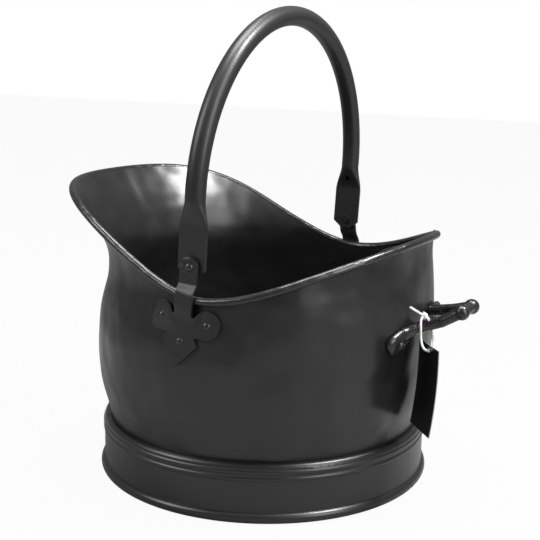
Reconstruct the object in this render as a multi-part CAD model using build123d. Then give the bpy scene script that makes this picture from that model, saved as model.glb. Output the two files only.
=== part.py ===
from build123d import *
from math import atan2, cos, hypot, pi, radians, sin, sqrt
import os

os.makedirs("parts", exist_ok=True)

# Helmet coal scuttle of black painted sheet steel. All sizes in millimetres.
# Origin: centre of the foot ring on the floor. +Z up, +X towards the rear tipping handle,
# -X towards the pouring spout, -Y the near side of the photograph and +Y the far side.

# Sheet body: bulged tub drawn in to a neck, flared forward into a spout
SHEET = 1.2
TUB_FLOOR_Z = 14.0
TUB_FOOT_R = 138.0
SEAT_R = 139.6
LOWER_BELLY_Z = 85.0
LOWER_BELLY_R = 148.0
BELLY_Z = 115.0
BELLY_R = 150.0
SHOULDER_Z = 150.0
SHOULDER_R = 147.4
UNDER_NECK_Z = 175.0
UNDER_NECK_R = 141.4
NECK_Z = 192.0
NECK_R = 139.8
FLARE_Z = 212.0
FLARE_R = 145.2
REAR_SHOULDER_R = 151.2
REAR_UPPER_Z = 185.0
REAR_UPPER_R = 149.2
REAR_NECK_Z = 206.0
REAR_NECK_R = 147.4
TRIM_TOP_Z = 272.0
TUB_FLANGE = 5.0

# Angles round the tub, from the spout at 0 to the rear at 180 degrees
SPOUT_SIDE_DEG = 83.0
REAR_SIDE_DEG = 122.0

# Rim line as seen from the side
SPOUT_TIP_REACH = 172.5
SPOUT_TIP_Z = 257.0
RIM_LOW_X = 22.0
RIM_LOW_Z = 181.0
REAR_TIP_Z = 222.5
REAR_TIP_REACH = 149.0

# Wired edge: the sheet rolled outward round a steel wire
RIM_WIRE_D = 4.0
WIRE_CLEARANCE = 0.05
RIM_STATIONS = 36

# Foot ring with pressed beads and a wired lower edge
RING_WALL_R = 146.4
RING_H = 50.0
RING_SHOULDER_R = 4.6
RING_LIP_CLEARANCE = 0.25
FOOT_WIRE_D = 6.8
FOOT_FLAT = 0.5
UPPER_BEAD_Z = 43.3
LOWER_BEAD_Z = 37.5
BEAD_HALF_H = 2.05
BEAD_PROUD = 0.9

# Bottom pan: a shallow dish inside the foot ring
PAN_SHEET = 1.2
PAN_RIM_H = 11.0
PAN_CLEARANCE = 0.1

# Bail: a tube bent to a half circle on two straight legs, crushed flat at both ends
BAIL_TUBE_D = 16.6
BAIL_WALL = 1.5
BAIL_LEG_H = 55.0
BAIL_INSET = 2.7
BAIL_FLAT_W = 26.2
BAIL_FLAT_BELOW = 8.6
BAIL_FLAT_ABOVE = 30.0
BAIL_CORNER = 6.5
BAIL_CORNER_SIDE = 8.5
BAIL_FLAT_LAP = 1.0
BAIL_NECK_TOP = 54.0
BAIL_SLIT = 0.4
NECK_STEP = 0.08
BAIL_TILT_DEG = 3.1
VENT_HOLE_D = 4.6
VENT_HOLE_H = 41.5

# Pivots
PIVOT_X = 12.0
PIVOT_ABOVE_RIM = 26.8
PIVOT_SHANK_D = 5.0
PIVOT_HEAD_D = 7.6
PIVOT_HEAD_H = 2.4
PIVOT_FIT = 0.05
PIVOT_SEAT = 0.15
SIDE_PLAY = 0.8

# Brackets
BRACKET_T = 2.5
BRACKET_LEAN_NEAR_DEG = 5.0
BRACKET_LEAN_FAR_DEG = -6.0
STRAP_W = 16.6
PIVOT_ABOVE_LOBES = 43.0
LOBE_SPREAD = 21.6
LOBE_R = 11.4
WEB_TOP = 4.6
WEB_BOTTOM = 11.4
WEB_HALF_W = 12.6
SPADE_HALF_W = 15.8
SPADE_SHOULDER = 18.4
SPADE_TIP = 36.5
TIP_RIVET_DROP = 16.6
WALL_GAP = 0.2
ROLL_GAP = 0.4
STANDOFF_RUN = 26.0
LEAN_MARGIN = 3.5

# Rivets through brackets and tub
RIVET_SHANK_D = 4.0
RIVET_HEAD_D = 6.6
RIVET_HEAD_H = 1.7
RIVET_TAIL_D = 6.0
RIVET_TAIL_H = 1.0
RIVET_FIT = 0.03
RIVET_SEAT = 0.05

# Rear tipping handle: a forged bar with two spread feet and a short grip
HANDLE_ROOT_Y = 16.0
HANDLE_ROOT_Z_NEAR = 150.6
HANDLE_ROOT_Z_FAR = 158.6
HANDLE_BAR_D = 9.6
HANDLE_GRIP_X = 190.4
HANDLE_GRIP_Z = 167.6
HANDLE_GRIP_HALF = 12.0
HANDLE_KNUCKLE_D = 13.0
FOOT_REACH = 53.0
FOOT_DROP = 12.0
FOOT_W = 15.0
FOOT_T = 6.6
FOOT_RIVET_Y = 42.0
FOOT_RIVET_DROP = 9.6
HANDLE_SEAT_GAP = 0.1

# Swing tag on a moulded nylon tie
TAG_W = 48.0
TAG_H = 72.0
TAG_T = 0.7
TAG_BOW = 1.7
TAG_HOLE_D = 4.4
TAG_HOLE_DROP = 4.6
TIE_D = 2.0
TIE_HEAD = 4.2
TIE_TAIL = 17.0
TIE_STUB = 7.9
TIE_STATIONS = 40


def through(stations, at):
    """Smooth curve through (position, value) stations, read at one position."""
    last = len(stations) - 1
    i = 0
    while i < last - 1 and at > stations[i + 1][0]:
        i += 1

    def slope(k):
        a = stations[max(k - 1, 0)]
        b = stations[min(k + 1, last)]
        return (b[1] - a[1]) / (b[0] - a[0])

    (p0, v0), (p1, v1) = stations[i], stations[i + 1]
    span = p1 - p0
    t = (at - p0) / span
    return (
        v0 * (2 * t**3 - 3 * t**2 + 1)
        + span * slope(i) * (t**3 - 2 * t**2 + t)
        + v1 * (3 * t**2 - 2 * t**3)
        + span * slope(i + 1) * (t**3 - t**2)
    )


def ease(t):
    t = min(max(t, 0.0), 1.0)
    return t * t * (3 - 2 * t)


def outline(*lines):
    """Flat face bounded by a closed run of lines."""
    return Face(Wire([edge for line in lines for edge in line.edges()]))


# Shape of the tub: radius of the middle of the sheet at an angle and a height

SEAT_Z = RING_H
TUB_BASE = [(TUB_FLOOR_Z, TUB_FOOT_R), (SEAT_Z, SEAT_R), (LOWER_BELLY_Z, LOWER_BELLY_R)]
TRIM_TOP_R = SPOUT_TIP_REACH + (TRIM_TOP_Z - SPOUT_TIP_Z) * 0.7
FRONT_STATIONS = TUB_BASE + [
    (BELLY_Z, BELLY_R),
    (SHOULDER_Z, SHOULDER_R),
    (UNDER_NECK_Z, UNDER_NECK_R),
    (NECK_Z, NECK_R),
    (FLARE_Z, FLARE_R),
    (SPOUT_TIP_Z, SPOUT_TIP_REACH),
    (TRIM_TOP_Z, TRIM_TOP_R),
]
REAR_STATIONS = TUB_BASE + [
    (BELLY_Z, BELLY_R),
    (SHOULDER_Z, REAR_SHOULDER_R),
    (REAR_UPPER_Z, REAR_UPPER_R),
    (REAR_NECK_Z, REAR_NECK_R),
    (REAR_TIP_Z, REAR_TIP_REACH),
    (TRIM_TOP_Z, REAR_TIP_REACH + (TRIM_TOP_Z - REAR_TIP_Z) * 0.1),
]


def tub_radius(deg, z):
    side = abs((deg + 180) % 360 - 180)
    front_share = ease((REAR_SIDE_DEG - side) / (REAR_SIDE_DEG - SPOUT_SIDE_DEG))
    return front_share * through(FRONT_STATIONS, z) + (1 - front_share) * through(REAR_STATIONS, z)


def tub_point(deg, z, offset=0.0):
    r = tub_radius(deg, z) + offset
    return Vector(-r * cos(radians(deg)), -r * sin(radians(deg)), z)


def tub_y(x, z, offset=0.0):
    """Distance from the middle plane of a point on the tub's side at x and z."""
    y = BELLY_R
    for _ in range(12):
        r = tub_radius(180 - atan2(y, x) * 180 / pi, z) + offset
        y = sqrt(r * r - x * x)
    return y


def tub_x(y, z, offset=0.0):
    """Reach of the tub's rear wall at y and z."""
    x = BELLY_R
    for _ in range(12):
        r = tub_radius(180 - atan2(abs(y), x) * 180 / pi, z) + offset
        x = sqrt(r * r - y * y)
    return x


def rim_line(x):
    """Height of the cut edge at x, seen from the side."""
    if x < RIM_LOW_X:
        t = min((RIM_LOW_X - x) / (RIM_LOW_X + SPOUT_TIP_REACH), 1.0)
        return RIM_LOW_Z + (SPOUT_TIP_Z - RIM_LOW_Z) * ease(t**0.93)
    t = min((x - RIM_LOW_X) / (REAR_TIP_REACH - RIM_LOW_X), 1.0)
    return RIM_LOW_Z + (REAR_TIP_Z - RIM_LOW_Z) * (0.4 * ease(t) + 0.6 * t * t)


def rim_height(deg):
    low, high = RIM_LOW_Z - 1, SPOUT_TIP_Z + 1
    for _ in range(40):
        mid = (low + high) / 2
        if rim_line(tub_point(deg, mid).X) > mid:
            low = mid
        else:
            high = mid
    return (low + high) / 2


def tub_normal(deg, z):
    step = 0.5
    along = tub_point(deg + step, z) - tub_point(deg - step, z)
    up = tub_point(deg, z + step) - tub_point(deg, z - step)
    return along.cross(up).normalized()


def ring_of(deg_count, z, offset):
    points = [tub_point(360 * i / deg_count, z, offset) for i in range(deg_count)]
    return Wire([Spline(*points, periodic=True)])


def tub_solid(offset, low, high, count=18):
    levels = [low + (high - low) * i / (count - 1) for i in range(count)]
    return loft([Face(ring_of(32, z, offset)) for z in levels])


def tube_through(points, radius, start_dir, end_dir):
    """Round bar through points, its end faces square to the given directions."""
    last = len(points) - 1
    sections = []
    for i, p in enumerate(points):
        if i == 0:
            direction = start_dir
        elif i == last:
            direction = end_dir
        else:
            direction = points[i + 1] - points[i - 1]
        sections.append(Face(Wire([Plane(p, z_dir=direction) * Circle(radius).edge()])))
    return loft(sections)


# Wired rim. Its centre line lies outside the sheet by one roll radius.

ROLL_BORE_R = RIM_WIRE_D / 2 + WIRE_CLEARANCE
ROLL_R = ROLL_BORE_R + SHEET
ROLL_OFFSET = ROLL_R - SHEET / 2 - 0.1
ROLL_SEAT = 0.02


def roll_point(deg):
    z = rim_height(deg)
    p = tub_point(deg, z) + tub_normal(deg, z) * ROLL_OFFSET
    if deg in (0, 180):
        p = Vector(p.X, 0, p.Z)
    return p


near_roll = [roll_point(180 * i / RIM_STATIONS) for i in range(RIM_STATIONS + 1)]
NEARWARD = Vector(0, -1, 0)
FARWARD = Vector(0, 1, 0)


def rim_tube(radius):
    half = tube_through(near_roll, radius, NEARWARD, FARWARD)
    return half + mirror(half, about=Plane.XZ)


# Tub sheet: outer skin less inner skin, trimmed along the rim line

TRIM_MARGIN = 20.0
outer_skin = tub_solid(SHEET / 2, TUB_FLOOR_Z, TRIM_TOP_Z)
inner_skin = tub_solid(-SHEET / 2, TUB_FLOOR_Z - SHEET, TRIM_TOP_Z + SHEET)

trim_xs = [RIM_LOW_X - (RIM_LOW_X + SPOUT_TIP_REACH) * (12 - i) / 12 for i in range(12)]
trim_xs += [RIM_LOW_X + (REAR_TIP_REACH - RIM_LOW_X) * i / 10 for i in range(11)]
trim_points = [(x, rim_line(x)) for x in trim_xs]
front_end = (-SPOUT_TIP_REACH - TRIM_MARGIN, SPOUT_TIP_Z)
rear_end = (REAR_TIP_REACH + TRIM_MARGIN, REAR_TIP_Z)
trim_edge = Spline(*trim_points, tangents=((1, 0), (1, 0)))
trim_top = TRIM_TOP_Z + TRIM_MARGIN
trim_outline = outline(
    Line(front_end, trim_points[0]),
    trim_edge,
    Line(trim_points[-1], rear_end),
    Polyline(rear_end, (rear_end[0], trim_top), (front_end[0], trim_top), front_end),
)
above_rim = extrude(Plane.XZ * trim_outline, 2 * SPOUT_TIP_REACH, both=True)

tub_wall = outer_skin - inner_skin - above_rim
foot_in = TUB_FOOT_R - SHEET / 2
flange_r = TUB_FOOT_R + SHEET / 2 + TUB_FLANGE
tub_flange = Pos(0, 0, TUB_FLOOR_Z) * (
    Cylinder(flange_r, SHEET, align=(Align.CENTER, Align.CENTER, Align.MIN))
    - Cylinder(foot_in + SHEET / 4, SHEET, align=(Align.CENTER, Align.CENTER, Align.MIN))
)
rim_roll = rim_tube(ROLL_R) - rim_tube(ROLL_BORE_R)
rim_wire = rim_tube(RIM_WIRE_D / 2)
tub = tub_wall + tub_flange - rim_tube(ROLL_R + ROLL_SEAT)

# Foot ring, turned from its section: wall, two pressed beads, a rolled shoulder at the top
# whose lip closes on the tub, and a wired roll at the bottom

foot_bore_r = FOOT_WIRE_D / 2 + WIRE_CLEARANCE
foot_roll_r = foot_bore_r + SHEET
foot_roll_x = RING_WALL_R - SHEET
foot_roll_z = foot_roll_r - FOOT_FLAT
ring_in = RING_WALL_R - SHEET
lip_r = SEAT_R + SHEET / 2 + RING_LIP_CLEARANCE
shoulder_x = RING_WALL_R - RING_SHOULDER_R
shoulder_z = RING_H - RING_SHOULDER_R
bead_r = (BEAD_HALF_H**2 + BEAD_PROUD**2) / (2 * BEAD_PROUD)
bead_x = RING_WALL_R + BEAD_PROUD - bead_r
bead_in_r = bead_r - SHEET
bead_in_half = sqrt(bead_in_r**2 - (ring_in - bead_x) ** 2)


def arc(x, z, r, start_deg, end_deg):
    """Arc about (x, z) given by its two end angles."""
    ends = [start_deg, (start_deg + end_deg) / 2, end_deg]
    points = [(x + r * cos(radians(a)), z + r * sin(radians(a))) for a in ends]
    return ThreePointArc(*points)


def bead(z, r, half):
    turn = atan2(half, sqrt(r * r - half * half)) * 180 / pi
    return arc(bead_x, z, r, -turn, turn)


def wall_with_beads(x, bottom_z, top_z, r, half):
    lower = bead(LOWER_BEAD_Z, r, half)
    upper = bead(UPPER_BEAD_Z, r, half)
    return [
        Line((x, bottom_z), lower @ 0),
        lower,
        Line(lower @ 1, upper @ 0),
        upper,
        Line(upper @ 1, (x, top_z)),
    ]


wall_bottom_z = foot_roll_z + foot_bore_r + SHEET / 2
ring_outer = wall_with_beads(RING_WALL_R, wall_bottom_z, shoulder_z, bead_r, BEAD_HALF_H)
ring_inner = wall_with_beads(ring_in, wall_bottom_z, shoulder_z, bead_in_r, bead_in_half)
shoulder_outer = arc(shoulder_x, shoulder_z, RING_SHOULDER_R, 0, 90)
shoulder_inner = arc(shoulder_x, shoulder_z, RING_SHOULDER_R - SHEET, 0, 90)
ring_section = outline(
    Line((ring_in, wall_bottom_z), (RING_WALL_R, wall_bottom_z)),
    *ring_outer,
    shoulder_outer,
    Polyline((shoulder_x, RING_H), (lip_r, RING_H), (lip_r, RING_H - SHEET), (shoulder_x, RING_H - SHEET)),
    shoulder_inner,
    *ring_inner,
)
roll_section = Pos(foot_roll_x, foot_roll_z) * (Circle(foot_roll_r) - Circle(foot_bore_r))
below_floor = Pos(foot_roll_x, -foot_roll_r) * Rectangle(4 * foot_roll_r, 2 * foot_roll_r)
foot_ring = revolve(Plane.XZ * (ring_section + (roll_section - below_floor)), Axis.Z)
foot_wire = revolve(Plane.XZ * Pos(foot_roll_x, foot_roll_z) * Circle(FOOT_WIRE_D / 2), Axis.Z)

# Bottom pan: flat disc with an upturned rim against the foot ring's inner wall

pan_r = ring_in - PAN_CLEARANCE
pan_z = TUB_FLOOR_Z - PAN_SHEET
pan_body = Cylinder(pan_r, PAN_SHEET + PAN_RIM_H, align=(Align.CENTER, Align.CENTER, Align.MIN))
pan_hollow = Pos(0, 0, PAN_SHEET) * Cylinder(
    pan_r - PAN_SHEET, PAN_RIM_H, align=(Align.CENTER, Align.CENTER, Align.MIN)
)
bottom_pan = Pos(0, 0, pan_z) * (pan_body - pan_hollow)

# Bail. Each half is a crushed end, a straight leg and a quarter of the arch; the far half
# mirrors the near half. It is drawn upright about its pivots and then leant back.

tube_r = BAIL_TUBE_D / 2
bore_r = tube_r - BAIL_WALL
side_roll_r = hypot(roll_point(90).X, roll_point(90).Y)
bail_half = side_roll_r - BAIL_INSET
flat_t = 2 * BAIL_WALL


def oval(h, half_w, half_t, power):
    """Tube section pressed between a circle (power 2) and a flat strip (high power)."""
    points = []
    for i in range(24):
        a = 2 * pi * i / 24
        c, s_ = cos(a), sin(a)
        r = (abs(c) ** power + abs(s_) ** power) ** (-1 / power)
        points.append(Vector(half_w * r * c, half_t * r * s_, h))
    return Face(Wire([Spline(*points, periodic=True)]))


def neck(inset, least_half_t, rise):
    """Loft from the round leg down to the crushed flat, inset by the wall for the bore."""
    sections = []
    for i in range(6):
        t = i / 5
        h = BAIL_NECK_TOP + (BAIL_FLAT_ABOVE - BAIL_NECK_TOP) * t
        half_w = tube_r + (BAIL_FLAT_W / 2 - tube_r) * ease(t) - NECK_STEP
        half_t = tube_r + (flat_t / 2 - tube_r) * ease(t * 1.1) - NECK_STEP * (1 - t)
        lift = rise if i == 0 else 0
        sections.append(oval(h + lift, half_w - inset, max(half_t - inset, least_half_t), 2 + 2.5 * t * t))
    return Pos(0, -bail_half, 0) * loft(sections)


flat_h = BAIL_FLAT_BELOW + BAIL_FLAT_ABOVE + BAIL_FLAT_LAP
flat_corner = Pos(0, 0, (flat_h / 2 - BAIL_FLAT_BELOW)) * Box(BAIL_FLAT_W, flat_t, flat_h)
lower_corners = flat_corner.edges().filter_by(Axis.Y).group_by(Axis.Z)[0]
bail_flat = Pos(0, -bail_half, 0) * chamfer(lower_corners, BAIL_CORNER, BAIL_CORNER_SIDE)
long_edges = bail_flat.edges().filter_by(Axis.Z)
bail_flat = fillet(long_edges, flat_t * 0.4)
pivot_hole = Pos(0, -bail_half, 0) * Rot(90, 0, 0) * Cylinder(PIVOT_SHANK_D / 2 + PIVOT_FIT, 4 * flat_t)
vent_hole = Pos(0, -bail_half + tube_r / 2, VENT_HOLE_H) * Rot(90, 0, 0) * Cylinder(VENT_HOLE_D / 2, tube_r)
neck_bore = neck(BAIL_WALL, BAIL_SLIT / 2, NECK_STEP)
near_end = neck(0, flat_t / 2, 0) + bail_flat - neck_bore - pivot_hole - vent_hole
tube_ring = Circle(tube_r) - Circle(bore_r)
near_leg = extrude(Pos(0, -bail_half, BAIL_NECK_TOP) * tube_ring, BAIL_LEG_H - BAIL_NECK_TOP)
near_half = near_end + near_leg
bail_arch = revolve(Pos(0, -bail_half, BAIL_LEG_H) * tube_ring, Axis((0, 0, BAIL_LEG_H), (-1, 0, 0)), 180)
bail_upright = near_half + bail_arch + mirror(near_half, about=Plane.XZ)
PIVOT_Z = RIM_LOW_Z + PIVOT_ABOVE_RIM
bail = Pos(PIVOT_X, 0, PIVOT_Z) * Rot(0, BAIL_TILT_DEG, 0) * bail_upright

# Brackets. The plate hugs the tub under its lobes and point, stands off it under the strap
# to pass outside the rolled rim, then leans in to lie flat outside the end of the bail.

bail_face_y = bail_half + flat_t / 2
strap_in_y = bail_face_y + SIDE_PLAY
strap_half = STRAP_W / 2


def bracket_xz(u, v, lean_deg):
    """Place of a point of the bracket's pattern, u across and v up from the lobes."""
    c, s_ = cos(radians(lean_deg)), sin(radians(lean_deg))
    down = PIVOT_ABOVE_LOBES - v
    return PIVOT_X + u * c - down * s_, PIVOT_Z - u * s_ - down * c


def plate_y(u, v, lean_deg):
    """Distance of the plate's inner face from the middle plane."""
    x, z = bracket_xz(u, v, lean_deg)
    rim_z = rim_line(x)
    hug = tub_y(x, min(z, rim_z - ROLL_R), SHEET / 2 + WALL_GAP)
    deg = 180 - atan2(hug, x) * 180 / pi
    roll_y = abs(roll_point(deg).Y) + ROLL_R + ROLL_GAP
    lift = ease((z - (rim_z - STANDOFF_RUN)) / (STANDOFF_RUN - 2 * ROLL_R))
    strap_share = 1 - ease((abs(u) - strap_half) / (LOBE_SPREAD - strap_half) * 1.6)
    y = hug + max(roll_y - hug, 0) * lift * strap_share
    lean_in = ease((z - (rim_z + ROLL_R)) / (PIVOT_Z - strap_half - LEAN_MARGIN - rim_z - ROLL_R))
    return y + (strap_in_y - y) * lean_in


def bracket_outline():
    strap = Pos(0, PIVOT_ABOVE_LOBES / 2) * Rectangle(STRAP_W, PIVOT_ABOVE_LOBES)
    strap += Pos(0, PIVOT_ABOVE_LOBES) * Circle(strap_half)
    lobes = Pos(LOBE_SPREAD, 0) * Circle(LOBE_R) + Pos(-LOBE_SPREAD, 0) * Circle(LOBE_R)
    web_h = WEB_TOP + WEB_BOTTOM
    web = Pos(0, (WEB_TOP - WEB_BOTTOM) / 2) * Rectangle(2 * WEB_HALF_W, web_h)
    bridge = Pos(0, -WEB_BOTTOM / 2) * Rectangle(2 * LOBE_SPREAD, WEB_BOTTOM)
    spade = outline(Polyline(
        (-WEB_HALF_W, -WEB_BOTTOM),
        (-SPADE_HALF_W, -SPADE_SHOULDER),
        (0, -SPADE_TIP),
        (SPADE_HALF_W, -SPADE_SHOULDER),
        (WEB_HALF_W, -WEB_BOTTOM),
        (-WEB_HALF_W, -WEB_BOTTOM),
    ))
    return strap + lobes + web + bridge + spade


def near_bracket(lean_deg):
    margin = 3.0
    left = -LOBE_SPREAD - LOBE_R - margin
    bottom = -SPADE_TIP - margin
    top = PIVOT_ABOVE_LOBES + strap_half + margin
    rows = []
    for i in range(25):
        v = bottom + (top - bottom) * i / 24
        row = []
        for j in range(21):
            u = left * (1 - j / 10)
            x, z = bracket_xz(u, v, lean_deg)
            row.append(Vector(x, -plate_y(u, v, lean_deg), z))
        rows.append(row)
    skin = Face.make_surface_from_array_of_points(rows)
    plate = extrude(skin, amount=BRACKET_T, dir=(0, -1, 0))
    lobes_x, lobes_z = bracket_xz(0, 0, lean_deg)
    pattern = Pos(lobes_x, -strap_in_y, lobes_z) * Rot(0, lean_deg, 0) * (
        Plane.XZ * bracket_outline()
    )
    cutter = extrude(pattern, amount=6 * BRACKET_T, both=True)
    return plate & cutter


def rivet(shank_d, grip, head_d, head_h, tail_d, tail_h):
    """Round-headed rivet along Z: the head's seat at 0, the shank going down by grip."""
    ball_r = ((head_d / 2) ** 2 + head_h**2) / (2 * head_h)
    cap = Pos(0, 0, head_h - ball_r) * Sphere(ball_r)
    cap &= Cylinder(head_d, 2 * head_h, align=(Align.CENTER, Align.CENTER, Align.MIN))
    shank = Cylinder(shank_d / 2, grip, align=(Align.CENTER, Align.CENTER, Align.MAX))
    tail = Pos(0, 0, -grip) * Cylinder(tail_d / 2, tail_h, align=(Align.CENTER, Align.CENTER, Align.MAX))
    return cap + shank + tail


def plate_frame(u, v, lean_deg):
    """Plane on the plate's outer face with its normal outward."""
    step = 0.5

    def at(du, dv):
        x, z = bracket_xz(u + du, v + dv, lean_deg)
        return Vector(x, -plate_y(u + du, v + dv, lean_deg) - BRACKET_T, z)

    across = at(step, 0) - at(-step, 0)
    up = at(0, step) - at(0, -step)
    normal = across.cross(up)
    return Plane(at(0, 0), x_dir=across, z_dir=normal)


rivet_spots = [(-LOBE_SPREAD, 0), (LOBE_SPREAD, 0), (0, -TIP_RIVET_DROP)]
bracket_grip = BRACKET_T + WALL_GAP + SHEET + RIVET_SEAT


def near_bracket_set(lean_deg):
    """Bracket with its holes, its three rivets and the holes they need in the tub."""
    frames = [plate_frame(u, v, lean_deg) for u, v in rivet_spots]
    seat = Pos(0, 0, RIVET_SEAT)
    one = seat * rivet(
        RIVET_SHANK_D, bracket_grip + RIVET_SEAT, RIVET_HEAD_D, RIVET_HEAD_H, RIVET_TAIL_D, RIVET_TAIL_H
    )
    hole = Cylinder(RIVET_SHANK_D / 2 + RIVET_FIT, 6 * BRACKET_T)
    rivets = Compound([frame * one for frame in frames])
    holes = Compound([frame * hole for frame in frames])
    plate = near_bracket(lean_deg) - holes
    plate -= Pos(PIVOT_X, -bail_half, PIVOT_Z) * Rot(90, 0, 0) * Cylinder(
        PIVOT_SHANK_D / 2 + PIVOT_FIT, 8 * BRACKET_T
    )
    return plate, rivets, holes


bracket_near, rivets_near, holes_near = near_bracket_set(BRACKET_LEAN_NEAR_DEG)
far_set = near_bracket_set(BRACKET_LEAN_FAR_DEG)
bracket_far, rivets_far, holes_far = [mirror(piece, about=Plane.XZ) for piece in far_set]

pivot_grip = flat_t + SIDE_PLAY + BRACKET_T + 2 * PIVOT_SEAT
pivot_rivet = rivet(
    PIVOT_SHANK_D, pivot_grip, PIVOT_HEAD_D, PIVOT_HEAD_H, PIVOT_HEAD_D, PIVOT_HEAD_H * 0.8
)
strap_out_y = strap_in_y + BRACKET_T
pivot_near = Pos(PIVOT_X, -strap_out_y - PIVOT_SEAT, PIVOT_Z) * Rot(90, 0, 0) * pivot_rivet
pivot_far = mirror(pivot_near, about=Plane.XZ)

# Rear tipping handle, forged in one piece: a flattened foot each side that lies on the wall,
# a leg that turns out and rises, and a short grip between two knuckles


def ellipse_at(p, direction, across, half_w, half_t):
    frame = Plane(p, x_dir=across, z_dir=direction)
    return Face(Wire([(frame * Ellipse(half_w, half_t)).edge()]))


def handle_side(root_z):
    """Foot, leg and knuckle of the near side."""
    bar_r = HANDLE_BAR_D / 2
    foot = []
    for i in range(9):
        t = i / 8
        y = HANDLE_ROOT_Y + (FOOT_REACH - HANDLE_ROOT_Y) * t
        z = root_z - FOOT_DROP * t**2.2
        half_t = (HANDLE_BAR_D + (FOOT_T - HANDLE_BAR_D) * t) / 2
        half_w = (HANDLE_BAR_D + (FOOT_W - HANDLE_BAR_D) * ease(t * 1.2)) / 2
        if i == 8:
            half_w *= 0.55
            half_t *= 0.55
        x = tub_x(y, z, SHEET / 2 + half_t * 0.8)
        foot.append((Vector(x, -y, z), half_w, half_t))
    sections = []
    for i, (p, half_w, half_t) in enumerate(foot):
        a = foot[max(i - 1, 0)][0]
        b = foot[min(i + 1, 8)][0]
        direction = b - a
        out = Vector(p.X, p.Y, 0)
        across = direction.cross(out)
        sections.append(ellipse_at(p, direction, across, half_w, half_t))
    body = loft(sections)
    corner = foot[0][0]
    knuckle = Vector(HANDLE_GRIP_X, -HANDLE_GRIP_HALF, HANDLE_GRIP_Z)
    bend = Vector(
        corner.X + (knuckle.X - corner.X) * 0.55,
        corner.Y + (knuckle.Y - corner.Y) * 0.45,
        corner.Z + (knuckle.Z - corner.Z) * 0.45,
    )
    for a, b in ((corner, bend), (bend, knuckle)):
        body += Solid.make_cylinder(bar_r, (b - a).length, Plane(a, z_dir=b - a))
        body += Pos(*a) * Sphere(bar_r * 1.03)
    return body + Pos(*knuckle) * Sphere(HANDLE_KNUCKLE_D / 2)


near_side = handle_side(HANDLE_ROOT_Z_NEAR)
far_side = mirror(handle_side(HANDLE_ROOT_Z_FAR), about=Plane.XZ)
grip = Pos(HANDLE_GRIP_X, 0, HANDLE_GRIP_Z) * Rot(90, 0, 0) * Cylinder(
    HANDLE_BAR_D / 2, 2 * HANDLE_GRIP_HALF
)
seat_skin = tub_solid(SHEET / 2 + HANDLE_SEAT_GAP, BELLY_Z, RIM_LOW_Z, 7)
rear_handle = near_side + far_side + grip - seat_skin


def foot_rivet_frame(root_z):
    z = root_z - FOOT_RIVET_DROP
    deg = 180 - atan2(FOOT_RIVET_Y, tub_x(FOOT_RIVET_Y, z)) * 180 / pi
    return Plane(tub_point(deg, z, SHEET / 2 + FOOT_T + HANDLE_SEAT_GAP), z_dir=tub_normal(deg, z))


foot_rivet = rivet(
    RIVET_SHANK_D,
    FOOT_T + HANDLE_SEAT_GAP + SHEET + RIVET_SEAT,
    RIVET_HEAD_D,
    RIVET_HEAD_H,
    RIVET_TAIL_D,
    RIVET_TAIL_H,
)
foot_hole = Cylinder(RIVET_SHANK_D / 2 + RIVET_FIT, 6 * FOOT_T)
foot_face = Cylinder(RIVET_HEAD_D / 2 + RIVET_FIT, 2 * FOOT_T, align=(Align.CENTER, Align.CENTER, Align.MIN))
near_frame = foot_rivet_frame(HANDLE_ROOT_Z_NEAR)
far_frame = foot_rivet_frame(HANDLE_ROOT_Z_FAR)
handle_rivets = Compound([near_frame * foot_rivet, mirror(far_frame * foot_rivet, about=Plane.XZ)])
handle_holes = Compound([near_frame * foot_hole, mirror(far_frame * foot_hole, about=Plane.XZ)])
handle_spots = Compound([near_frame * foot_face, mirror(far_frame * foot_face, about=Plane.XZ)])
rear_handle = rear_handle - handle_holes - handle_spots
tub = tub - holes_near - holes_far - handle_holes

# Swing tag: a slightly bowed card with one hole, on a nylon tie looped round the near leg

tag_hole = Vector(168.6, -27.3, 136.0)
tag_across = Vector(0.642, -0.764, 0.056).normalized()
tag_hang = Vector(-0.032, -0.102, -0.994)
tag_down = (tag_hang - tag_across * tag_hang.dot(tag_across)).normalized()
tag_face = tag_down.cross(tag_across)
tag_plane = Plane(tag_hole - tag_down * TAG_HOLE_DROP, x_dir=tag_down, z_dir=tag_across)
card_line = outline(
    ThreePointArc((0, 0), (TAG_H / 2, TAG_BOW), (TAG_H, 0)),
    Line((TAG_H, 0), (TAG_H, TAG_T)),
    ThreePointArc((TAG_H, TAG_T), (TAG_H / 2, TAG_BOW + TAG_T), (0, TAG_T)),
    Line((0, TAG_T), (0, 0)),
)
card = extrude(tag_plane * card_line, amount=TAG_W / 2, both=True)
hole_plane = Plane(tag_hole, z_dir=tag_face)
tag_card = card - hole_plane * Cylinder(TAG_HOLE_D / 2, 8 * TAG_T)

# The tie's head rests on top of the leg, with a stub and a long tail. One strand goes down
# each side of the leg and through the hole in the card.

tie_head = Vector(159.3, -16.0, 161.5)
tie_loop = [
    tie_head,
    Vector(158.8, -21.2, 157.9),
    Vector(159.6, -22.9, 152.5),
    Vector(160.2, -23.3, 145.0),
    Vector(163.0, -26.5, 139.0),
    tag_hole + tag_face * TIE_D,
    tag_hole - tag_face * TIE_D,
    Vector(171.0, -22.5, 139.0),
    Vector(167.0, -15.0, 145.6),
    Vector(163.0, -9.0, 152.5),
    Vector(161.0, -10.6, 158.2),
    tie_head,
]
loop_curve = Spline(*tie_loop)
loop_points = [loop_curve @ (i / TIE_STATIONS) for i in range(TIE_STATIONS + 1)]
tie_strand = tube_through(loop_points, TIE_D / 2, loop_curve % 0, loop_curve % 1)
tail_end = tie_head + Vector(-0.458, -0.722, 0.517) * TIE_TAIL
stub_end = tie_head + Vector(0.803, -0.552, -0.226) * TIE_STUB


def tie_bar(end):
    return Solid.make_cylinder(TIE_D / 2, (end - tie_head).length, Plane(tie_head, z_dir=end - tie_head))


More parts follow.
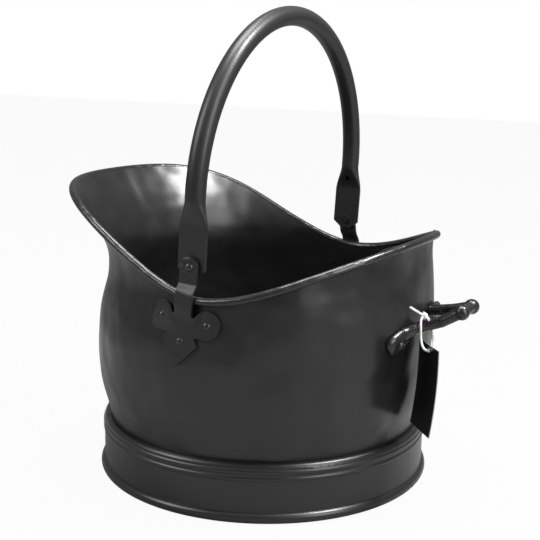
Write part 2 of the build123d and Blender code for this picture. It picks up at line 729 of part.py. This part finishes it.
tie_block = Plane(tie_head, z_dir=stub_end - tail_end) * Box(TIE_HEAD, TIE_HEAD, TIE_HEAD)
tag_tie = tie_block + tie_strand + tie_bar(tail_end) + tie_bar(stub_end)

for name, piece in (
    ("tub_shell", tub),
    ("rolled_rim", rim_roll),
    ("rim_wire", rim_wire),
    ("foot_ring", foot_ring),
    ("foot_wire", foot_wire),
    ("bottom_pan", bottom_pan),
    ("bail_handle", bail),
    ("bracket_near", bracket_near),
    ("bracket_far", bracket_far),
    ("bracket_rivets_near", rivets_near),
    ("bracket_rivets_far", rivets_far),
    ("pivot_rivet_near", pivot_near),
    ("pivot_rivet_far", pivot_far),
    ("rear_handle", rear_handle),
    ("rear_handle_rivets", handle_rivets),
    ("tag_card", tag_card),
    ("tag_tie", tag_tie),
):
    export_step(piece, f"parts/{name}.step")
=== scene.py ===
import bpy
from math import radians
from mathutils import Matrix, Vector

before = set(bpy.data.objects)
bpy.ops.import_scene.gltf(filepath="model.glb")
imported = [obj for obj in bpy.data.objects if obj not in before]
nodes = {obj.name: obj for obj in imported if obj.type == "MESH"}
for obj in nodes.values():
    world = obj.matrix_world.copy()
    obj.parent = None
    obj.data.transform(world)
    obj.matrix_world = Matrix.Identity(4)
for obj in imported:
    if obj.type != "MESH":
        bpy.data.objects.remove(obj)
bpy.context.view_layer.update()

# Paint: a near-black satin whose gloss drifts slowly over the surface. Broad noise gives the
# shallow dents of hand-worked sheet, fine noise the grain of the coating. Both are laid in
# object coordinates, so they move with the piece.


def paint(name, shade, rough, drift, dent_size, dent_depth, grain_depth, coat=0.0):
    mat = bpy.data.materials.new(name)
    mat.use_nodes = True
    tree = mat.node_tree
    surface = tree.nodes["Principled BSDF"]
    place = tree.nodes.new("ShaderNodeTexCoord")

    def noise(size, detail):
        node = tree.nodes.new("ShaderNodeTexNoise")
        node.inputs["Scale"].default_value = 1.0 / size
        node.inputs["Detail"].default_value = detail
        tree.links.new(place.outputs["Object"], node.inputs["Vector"])
        return node

    def spread(source, low, high):
        node = tree.nodes.new("ShaderNodeMapRange")
        node.inputs["From Min"].default_value = 0.3
        node.inputs["From Max"].default_value = 0.7
        node.inputs["To Min"].default_value = low
        node.inputs["To Max"].default_value = high
        tree.links.new(source.outputs["Fac"], node.inputs["Value"])
        return node.outputs["Result"]

    def bump(source, depth, under):
        node = tree.nodes.new("ShaderNodeBump")
        node.inputs["Distance"].default_value = depth
        tree.links.new(source.outputs["Fac"], node.inputs["Height"])
        if under is not None:
            tree.links.new(under, node.inputs["Normal"])
        return node.outputs["Normal"]

    surface.inputs["Base Color"].default_value = (shade, shade, shade * 1.04, 1)
    surface.inputs["Specular IOR Level"].default_value = 0.4
    surface.inputs["Coat Weight"].default_value = coat
    surface.inputs["Coat Roughness"].default_value = 0.22
    tree.links.new(spread(noise(0.05, 3), rough - drift, rough + drift), surface.inputs["Roughness"])
    dents = bump(noise(dent_size, 1), dent_depth, None)
    grain = bump(noise(0.0012, 2), grain_depth, dents)
    tree.links.new(grain, surface.inputs["Normal"])
    return mat


def dress(mat, *names):
    for name in names:
        for slot in nodes[name].material_slots:
            slot.material = mat


# Tub and bottom pan: worked sheet with the deepest dents, seen as uneven patches of light
# inside the spout and over the shoulders.
dress(paint("worked_sheet", 0.011, 0.35, 0.08, 0.04, 0.0065, 0.00003, 0.25), "tub_shell", "bottom_pan")

# Foot ring and its wire: smoother turned sheet with crisp beads that catch a thin highlight.
dress(paint("foot_sheet", 0.011, 0.33, 0.05, 0.06, 0.0005, 0.00003, 0.3), "foot_ring", "foot_wire")

# Rolled rim and its wire: short dents left by the hand tool that closed the edge, and paint
# worn a little brighter than on the wall.
dress(paint("rim_paint", 0.012, 0.30, 0.06, 0.014, 0.0022, 0.00002, 0.35), "rolled_rim", "rim_wire")

# Bail: drawn tube, the smoothest piece, with a soft satin coat down to its crushed ends.
dress(paint("bail_paint", 0.014, 0.42, 0.04, 0.05, 0.0002, 0.00003, 0.2), "bail_handle")

# Brackets: flat cut plate with a duller coat than the tub, so that they read as separate.
dress(paint("plate_paint", 0.013, 0.42, 0.05, 0.012, 0.0002, 0.00004, 0.1), "bracket_near", "bracket_far")

# Rivets: rounded heads with the coat thickened over them.
dress(
    paint("rivet_paint", 0.014, 0.30, 0.04, 0.004, 0.0001, 0.00002, 0.3),
    "bracket_rivets_near",
    "bracket_rivets_far",
    "pivot_rivet_near",
    "pivot_rivet_far",
    "rear_handle_rivets",
)

# Rear tipping handle: lumpy forged bar, glossier on its swellings.
dress(paint("forged_bar", 0.011, 0.27, 0.08, 0.009, 0.0026, 0.00004, 0.4), "rear_handle")

# Swing tag: blank black board whose cut edge shows paler. The face normal of the card tells
# its two faces from its edge.
TAG_FACE = (-0.766, -0.637, 0.090)
card = paint("tag_board", 0.010, 0.34, 0.03, 0.03, 0.0001, 0.00001)
tree = card.node_tree
place = tree.nodes.new("ShaderNodeTexCoord")
facing = tree.nodes.new("ShaderNodeVectorMath")
facing.operation = "DOT_PRODUCT"
facing.inputs[1].default_value = TAG_FACE
size = tree.nodes.new("ShaderNodeMath")
size.operation = "ABSOLUTE"
edge = tree.nodes.new("ShaderNodeMapRange")
edge.inputs["From Min"].default_value = 0.4
edge.inputs["From Max"].default_value = 0.6
tone = tree.nodes.new("ShaderNodeMix")
tone.data_type = "RGBA"
tone.inputs["A"].default_value = (0.32, 0.31, 0.30, 1)
tone.inputs["B"].default_value = (0.008, 0.008, 0.009, 1)
tree.links.new(place.outputs["Normal"], facing.inputs[0])
tree.links.new(facing.outputs["Value"], size.inputs[0])
tree.links.new(size.outputs["Value"], edge.inputs["Value"])
tree.links.new(edge.outputs["Result"], tone.inputs["Factor"])
tree.links.new(tone.outputs["Result"], tree.nodes["Principled BSDF"].inputs["Base Color"])
dress(card, "tag_card")

# Tie: translucent white nylon, so it glows slightly where light passes through the strand.
nylon = paint("nylon", 0.82, 0.35, 0.03, 0.01, 0.0001, 0.00001)
nylon.node_tree.nodes["Principled BSDF"].inputs["Subsurface Weight"].default_value = 0.3
nylon.node_tree.nodes["Principled BSDF"].inputs["Subsurface Scale"].default_value = 0.002
dress(nylon, "tag_tie")

# Floor and backdrop: to the camera both are plain white, so no horizon shows, and the floor
# keeps a soft contact shadow. All other rays see a dimmer studio, which leaves the paint black.
CAMERA_WHITE = 1.0
STUDIO_LEVEL = 0.24
FLOOR_SHADE = 0.95
floor_mat = bpy.data.materials.new("floor_white")
floor_mat.use_nodes = True
tree = floor_mat.node_tree
seen = tree.nodes.new("ShaderNodeLightPath")
glow = tree.nodes.new("ShaderNodeEmission")
glow.inputs["Color"].default_value = (1, 1, 1, 1)
glow.inputs["Strength"].default_value = CAMERA_WHITE
share = tree.nodes.new("ShaderNodeMath")
share.operation = "MULTIPLY"
share.inputs[1].default_value = FLOOR_SHADE
blend = tree.nodes.new("ShaderNodeMixShader")
surface = tree.nodes["Principled BSDF"]
surface.inputs["Base Color"].default_value = (0.3, 0.3, 0.3, 1)
surface.inputs["Roughness"].default_value = 0.9
tree.links.new(seen.outputs["Is Camera Ray"], share.inputs[0])
tree.links.new(share.outputs["Value"], blend.inputs["Fac"])
tree.links.new(surface.outputs["BSDF"], blend.inputs[1])
tree.links.new(glow.outputs["Emission"], blend.inputs[2])
tree.links.new(blend.outputs["Shader"], tree.nodes["Material Output"].inputs["Surface"])
bpy.ops.mesh.primitive_plane_add(size=9, location=(0, 0, -0.0005))
floor = bpy.context.object
floor.name = "floor"
floor.data.materials.append(floor_mat)
world = bpy.data.worlds.new("studio")
bpy.context.scene.world = world
world.use_nodes = True
tree = world.node_tree
seen = tree.nodes.new("ShaderNodeLightPath")
level = tree.nodes.new("ShaderNodeMapRange")
level.inputs["To Min"].default_value = STUDIO_LEVEL
level.inputs["To Max"].default_value = CAMERA_WHITE
tree.links.new(seen.outputs["Is Camera Ray"], level.inputs["Value"])
tree.links.new(level.outputs["Result"], tree.nodes["Background"].inputs["Strength"])
tree.nodes["Background"].inputs["Color"].default_value = (1, 1, 1, 1)

# Lights: large soft panels. The key stands high on the left, and a fill on the right draws
# the bright strip down the side of the tub. One above lights the bail's arch and a small one
# rakes the inside of the spout.


def panel(name, place, target, width, height, power):
    data = bpy.data.lights.new(name, "AREA")
    data.shape = "RECTANGLE"
    data.size = width
    data.size_y = height
    data.energy = power
    lamp = bpy.data.objects.new(name, data)
    lamp.location = place
    lamp.rotation_euler = (Vector(target) - Vector(place)).to_track_quat("-Z", "Y").to_euler()
    bpy.context.collection.objects.link(lamp)


panel("key", (-1.1, -1.2, 1.3), (0, 0, 0.15), 0.9, 1.1, 20)
panel("fill", (1.5, -0.5, 0.9), (0, 0, 0.15), 0.7, 1.2, 15)
panel("top", (-0.1, 0.1, 1.5), (0, 0, 0.2), 0.6, 0.6, 17)
panel("spout_light", (0.55, 0.15, 1.1), (-0.12, 0.05, 0.22), 0.3, 0.3, 18)

# Camera fitted to the photograph: a long lens about a metre away, rolled by a degree.
EYE = Vector((0.47647, -0.84961, 0.38499))
AIM = Vector((0.00303, 0.00169, 0.17865))
camera_data = bpy.data.cameras.new("camera")
camera_data.sensor_width = 36
camera_data.lens = 73.33
camera = bpy.data.objects.new("camera", camera_data)
bpy.context.collection.objects.link(camera)
turn = (AIM - EYE).to_track_quat("-Z", "Y").to_matrix().to_4x4()
camera.matrix_world = Matrix.Translation(EYE) @ turn @ Matrix.Rotation(radians(0.95), 4, "Z")
bpy.context.scene.camera = camera
bpy.context.scene.view_settings.view_transform = "Standard"
